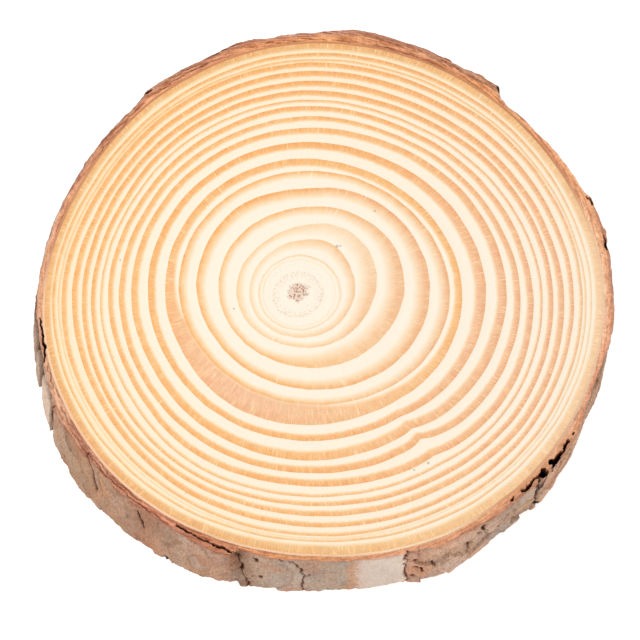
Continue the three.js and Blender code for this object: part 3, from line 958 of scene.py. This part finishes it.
# The flat layout of the bark is one long strip, cut into four and laid in rows.
STRIPS = 4
ROW_HEIGHT = 1 / STRIPS
MARGIN = 0.006  # above and below a row
SIDE_MARGIN = 0.005
strip_steps = bark_steps // STRIPS
line_widths = [0.17] * FACE_LINES + [0.33] * WALL_LINES + [0.4] * UNDER_LINES  # mm, about
line_places = np.concatenate([[0], np.cumsum(line_widths)])
line_places = line_places / line_places[-1] * (ROW_HEIGHT - 2 * MARGIN) + MARGIN
layout = bark.data.uv_layers.new(name="OFBake")
corners = np.zeros((bark_rows, bark_steps, 4, 2))
step_index = np.arange(bark_steps)
strip = step_index // strip_steps
strip_width = 1 - 2 * SIDE_MARGIN
left = (step_index % strip_steps) / strip_steps * strip_width + SIDE_MARGIN
right = left + strip_width / strip_steps
for line in range(bark_rows):
    for corner, (edge, further) in enumerate(((left, 0), (left, 1), (right, 1), (right, 0))):
        corners[line, :, corner, 0] = edge
        corners[line, :, corner, 1] = strip * ROW_HEIGHT + line_places[line + further]
layout.data.foreach_set("uv", corners.ravel())

# Dry pine bark: quite matt, dusty and granular. The cut faces are made of coarse cork crumbs; the wall has
# a fine grain along the stem.
bark_matter, tree, shader = new_material("dry_pine_bark", {"Roughness": 0.9, "Specular IOR Level": 0.2})
in_mm, _, distance, direction = place_nodes(tree)
squeezed = node(tree, "VectorMath", {0: in_mm, 1: (1, 1, 0.45)}, operation="MULTIPLY")
tint = node(tree, "Attribute", attribute_name="bark_tint", out="Color")
painted_shade, sawn, crumbly, sheeted = (
    node(tree, "Attribute", attribute_name=stored, out="Fac")
    for stored in ("painted_shade", "sawn", "crumbly", "sheeted")
)
crumbs_noise = node(tree, "TexNoise", {"Vector": in_mm, "Scale": 2.0, "Detail": 4.0})
grain_noise = node(tree, "TexNoise", {"Vector": squeezed, "Scale": 2.4, "Detail": 6.0, "Roughness": 0.68})
dust_noise = node(tree, "TexNoise", {"Vector": in_mm, "Scale": 0.5, "Detail": 3.0})
texture = node(tree, "MixRGB", {"Fac": sawn, "Color1": grain_noise, "Color2": crumbs_noise})
wall_tone = node(tree, "MapRange", {
    "Value": texture, "From Min": 0.36, "From Max": 0.64, "To Min": 0.76, "To Max": 1.26})
sawn_tone = node(tree, "MapRange", {
    "Value": texture, "From Min": 0.34, "From Max": 0.66, "To Min": 0.84, "To Max": 1.2})
# Painted shade: small pits over the wall are painted darker, with no hollow for them in the mesh.
pit_cells = node(tree, "TexVoronoi", {"Vector": squeezed, "Scale": 1.25}, out="Distance")
pit_shade = node(tree, "MapRange", {"Value": pit_cells, "From Min": 0.1, "From Max": 0.24, "To Min": 0.62})
pit_shaded = node(tree, "Math", {0: wall_tone, 1: pit_shade}, operation="MULTIPLY")
# The cut bark is laid down in thin sheets, which show as redder streaks.
STREAK_LENGTH, SHEET_APART = 3.0, 0.3  # mm
sheet_place = round_the_pith(tree, direction, distance, MEAN_REACH / STREAK_LENGTH, 1 / SHEET_APART)
sheet_noise = node(tree, "TexNoise", {"Vector": sheet_place, "Scale": 0.8, "Detail": 3.0})
sheets = node(tree, "MapRange", {"Value": sheet_noise, "From Min": 0.44, "From Max": 0.6})
sheet_tint = node(tree, "MixRGB", {
    "Fac": sheets, "Color1": (1.2, 1.2, 1.18, 1), "Color2": (0.7, 0.53, 0.45, 1)})
sheet_tint = node(tree, "MixRGB", {"Fac": sheeted, "Color1": (1, 0.96, 0.92, 1), "Color2": sheet_tint})
sawn_tone = node(tree, "VectorMath", {0: sheet_tint, 1: sawn_tone}, operation="MULTIPLY")
tone = node(tree, "MixRGB", {"Fac": sawn, "Color1": pit_shaded, "Color2": sawn_tone})
tone = node(tree, "MixRGB", {"Fac": crumbly, "Color1": (1, 1, 1, 1), "Color2": tone})
toned = node(tree, "VectorMath", {0: tint, 1: tone}, operation="MULTIPLY")
dust = node(tree, "MapRange", {"Value": dust_noise, "From Min": 0.52, "From Max": 0.72, "To Max": 0.2})
not_sawn = node(tree, "Math", {0: 1.0, 1: sawn}, operation="SUBTRACT")
dust_on_wall = node(tree, "Math", {0: dust, 1: not_sawn}, operation="MULTIPLY")
# Painted shade: the stored shade darkens cracks and splits towards a dark brown, and deep ones towards near
# black.
DUST, CRACK_SHADE_COLOUR, DEEP_CRACK_SHADOW_COLOUR = paint("c9b39f"), paint("6f4334"), paint("1a120c")
dusty = node(tree, "MixRGB", {"Fac": dust_on_wall, "Color1": toned, "Color2": DUST})
crack_shade_amount = node(tree, "MapRange", {"Value": painted_shade, "From Min": 0.1, "From Max": 0.5})
shaded = node(tree, "MixRGB", {"Fac": crack_shade_amount, "Color1": dusty, "Color2": CRACK_SHADE_COLOUR})
deep_shade_amount = node(tree, "MapRange", {"Value": painted_shade, "From Min": 0.55, "From Max": 0.95})
shaded = node(tree, "MixRGB", {"Fac": deep_shade_amount, "Color1": shaded, "Color2": DEEP_CRACK_SHADOW_COLOUR})
tree.links.new(shaded, shader.inputs["Base Color"])
bump = node(tree, "Bump", {"Height": texture, "Strength": 0.8, "Distance": 0.35 * MM})
tree.links.new(bump, shader.inputs["Normal"])
bark.data.materials.append(bark_matter)
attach(bark, "root")
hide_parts("wood_slice")

# ---------------------------------------------------------------------------------------------------------
# Loose flakes: curled scales of dead outer bark, 0.7 to 1.4 mm thick in the middle, that still hang on
# the wall by one edge. The largest hang one over the other on the west side, with a dark gap behind them.
# ---------------------------------------------------------------------------------------------------------
# Middle as (degrees, height), width round the stem and length along it, how far the low edge and the high
# edge (counted anticlockwise) stand off the wall, how much farther its foot stands off than its head,
# thickness, all in mm, and its colour.
FLAKES = [
    (189.2, 12.6, 7.4, 8.6, -0.55, -0.2, 0.45, 1.2, "a98f80"),
    (194.9, 11.6, 6.4, 9.6, -0.5, -0.15, 0.6, 1.2, "b79d8c"),
    (184.4, 14.6, 3.6, 5.4, -0.5, -0.3, 0.2, 0.8, "8a6453"),
    (181.2, 15.8, 2.6, 3.6, -0.4, -0.3, 0.1, 0.6, "8f6b59"),
    (202.0, 9.0, 9.0, 14.6, -0.5, -0.3, 0.5, 1.0, "cfb4a0"),
    (190.5, 4.6, 9.0, 6.4, -0.5, -0.1, 0.3, 1.0, "b5a192"),
    (27.0, 6.5, 6.0, 9.0, 0.15, -0.25, 0.1, 0.6, "b59a86"),
    (54.0, 8.0, 7.5, 12.0, -0.25, 0.15, 0.1, 0.7, "8f7568"),
    (67.0, 6.0, 5.5, 9.0, 0.15, -0.25, 0.1, 0.6, "97796a"),
    (88.0, 8.5, 6.0, 11.0, -0.25, 0.15, 0.1, 0.6, "a98972"),
    (113.0, 7.5, 6.5, 12.0, 0.15, -0.25, 0.1, 0.6, "ad907c"),
    (133.0, 6.5, 5.5, 9.0, -0.25, 0.15, 0.1, 0.6, "b59d8c"),
    (157.0, 8.0, 7.0, 12.5, 0.15, -0.25, 0.1, 0.6, "a98d7c"),
    (171.0, 7.0, 5.0, 9.0, -0.25, 0.15, 0.1, 0.6, "a48878"),
]
FLAKE_RINGS, FLAKE_POINTS = 7, 44
RAGGED, SQUARE, LUMPY = 0.3, 0.22, 0.13  # how ragged and square an outline is, and how lumpy a face in mm
LOWEST, HIGHEST = 0.25, THICK - 0.35  # mm
# How much lighter a flake's bulges and darker its dips are painted, and how much darker its outline is
# painted.
LUMP_SHADE, EDGE_SHADE = 0.12, 0.15
# A flake's mesh runs in rings from the middle of its outer face to its outline, and back behind it.
angles = np.arange(FLAKE_POINTS) * 2 * math.pi / FLAKE_POINTS
ring_place = np.concatenate([np.linspace(0, 1, FLAKE_RINGS)[1:], np.linspace(1, 0, FLAKE_RINGS)[:-1]])
rows = len(ring_place)
outward = np.array([[1.0]] * (FLAKE_RINGS - 1) + [[-1.0]] * (FLAKE_RINGS - 1))
flake_points, flake_faces, flake_tints = [], [], []
for index, (turn, height, wide, tall, low_off, high_off, foot_off, thick, colour) in enumerate(FLAKES):
    outline = np.stack([np.cos(angles), np.sin(angles), 0 * angles + index * 3.0], 1)
    ragged = 1 + RAGGED * rough(outline, 0.4, 3, 20)
    # A flake is squarish: its outline lies between an ellipse and a box.
    box = 1 / np.maximum(np.abs(np.cos(angles)), np.abs(np.sin(angles)))
    squarish = (1 - SQUARE + SQUARE * box) * ragged
    side = np.outer(ring_place, np.cos(angles) * squarish) * wide / 2
    level = height + np.outer(ring_place, np.sin(angles) * squarish) * tall / 2
    level = np.clip(level, LOWEST, HIGHEST)
    turns = turn + np.degrees(side / MEAN_REACH)
    ground = through(BARK_OUTLINE, turns) + through(LOWER_SPREAD, turns) * (1 - level / THICK)
    off = low_off + (high_off - low_off) * (0.5 + side / wide) + foot_off * (0.5 - (level - height) / tall)
    lumps = rough(np.stack([side.ravel(), level.ravel(), 0 * side.ravel() + index * 7.0], 1), 1.6, 3, 21)
    # The middle is full, and the edge is blunt and about half as thick.
    body = (thick / 2) * np.sqrt(np.clip(1.3 - ring_place[:, None] ** 6, 0, 1))
    reach = ground + off + thick / 2 + outward * body + LUMPY * lumps.reshape(side.shape)
    first = len(flake_points)
    grid = stem_points(reach, turns, level).reshape(-1, 3)
    middles = [grid[:FLAKE_POINTS].mean(0), grid[-FLAKE_POINTS:].mean(0)]
    flake_points += [tuple(middles[0])] + [tuple(p) for p in grid] + [tuple(middles[1])]
    flake_faces += fan_faces(first, first + 1, FLAKE_POINTS)
    for line in range(rows - 1):
        start_at = first + 1 + line * FLAKE_POINTS
        flake_faces += ring_faces(start_at, start_at + FLAKE_POINTS, FLAKE_POINTS)
    last_ring = first + 1 + (rows - 1) * FLAKE_POINTS
    back_middle = last_ring + FLAKE_POINTS
    flake_faces += [face[::-1] for face in fan_faces(back_middle, last_ring, FLAKE_POINTS)]
    # Painted light and shade: a flake is painted lighter where its face bulges out and darker where it dips,
    # and darker round its outline.
    shade = 1 + LUMP_SHADE * lumps.reshape(side.shape)[..., None]
    edge_shade = 1 - EDGE_SHADE * (ring_place[:, None, None] > 0.99)
    # Each flake takes half its colour from the wall that it lies on.
    flake_tint = (np.array(paint(colour)) + tint_through(WALL_TINTS, turn)) / 2
    tints = flake_tint * shade * edge_shade
    flake_tints += [tuple(flake_tint)] + [tuple(t) for t in tints.reshape(-1, 4)] + [tuple(flake_tint)]
flake_tints = np.array(flake_tints)
flake_tints[:, 3] = 1
flakes = make_piece(
    "loose_flakes", flake_points, flake_faces,
    {"painted_shade": np.zeros(len(flake_points)), "sawn": np.zeros(len(flake_points)),
     "crumbly": np.ones(len(flake_points))},
    {"bark_tint": flake_tints},
)
flakes.data.shade_smooth()
flakes.data.materials.append(bark_matter)
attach(flakes, "root")
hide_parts("wood_slice")
